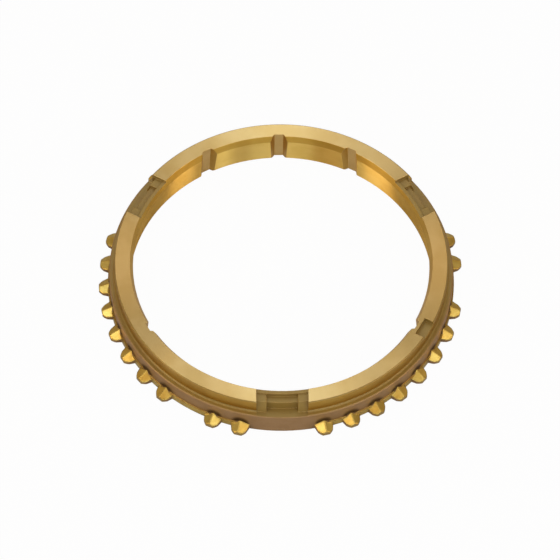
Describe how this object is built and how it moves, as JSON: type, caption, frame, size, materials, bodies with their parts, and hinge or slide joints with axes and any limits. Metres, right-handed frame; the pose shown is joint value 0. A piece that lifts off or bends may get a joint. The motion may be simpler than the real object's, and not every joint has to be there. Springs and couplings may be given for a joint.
{
  "type": "synchronizer ring",
  "caption": "Brass gearbox synchronizer ring with an inner friction cone, pointed blocker teeth around its flange, key slots in its rim and oil grooves in the cone.",
  "frame": {"origin": "on the ring's axis, at its gear-side face, which it lies on", "axes": "+Z along the ring's axis, from the gear-side face towards the hub-side face; one key slot faces -Y"},
  "size_m": [0.0789, 0.0781, 0.0091],
  "materials": {
    "brass": "satin"
  },
  "bodies": {
    "root": {"synchronizer_ring": "brass"}
  },
  "joints": []
}
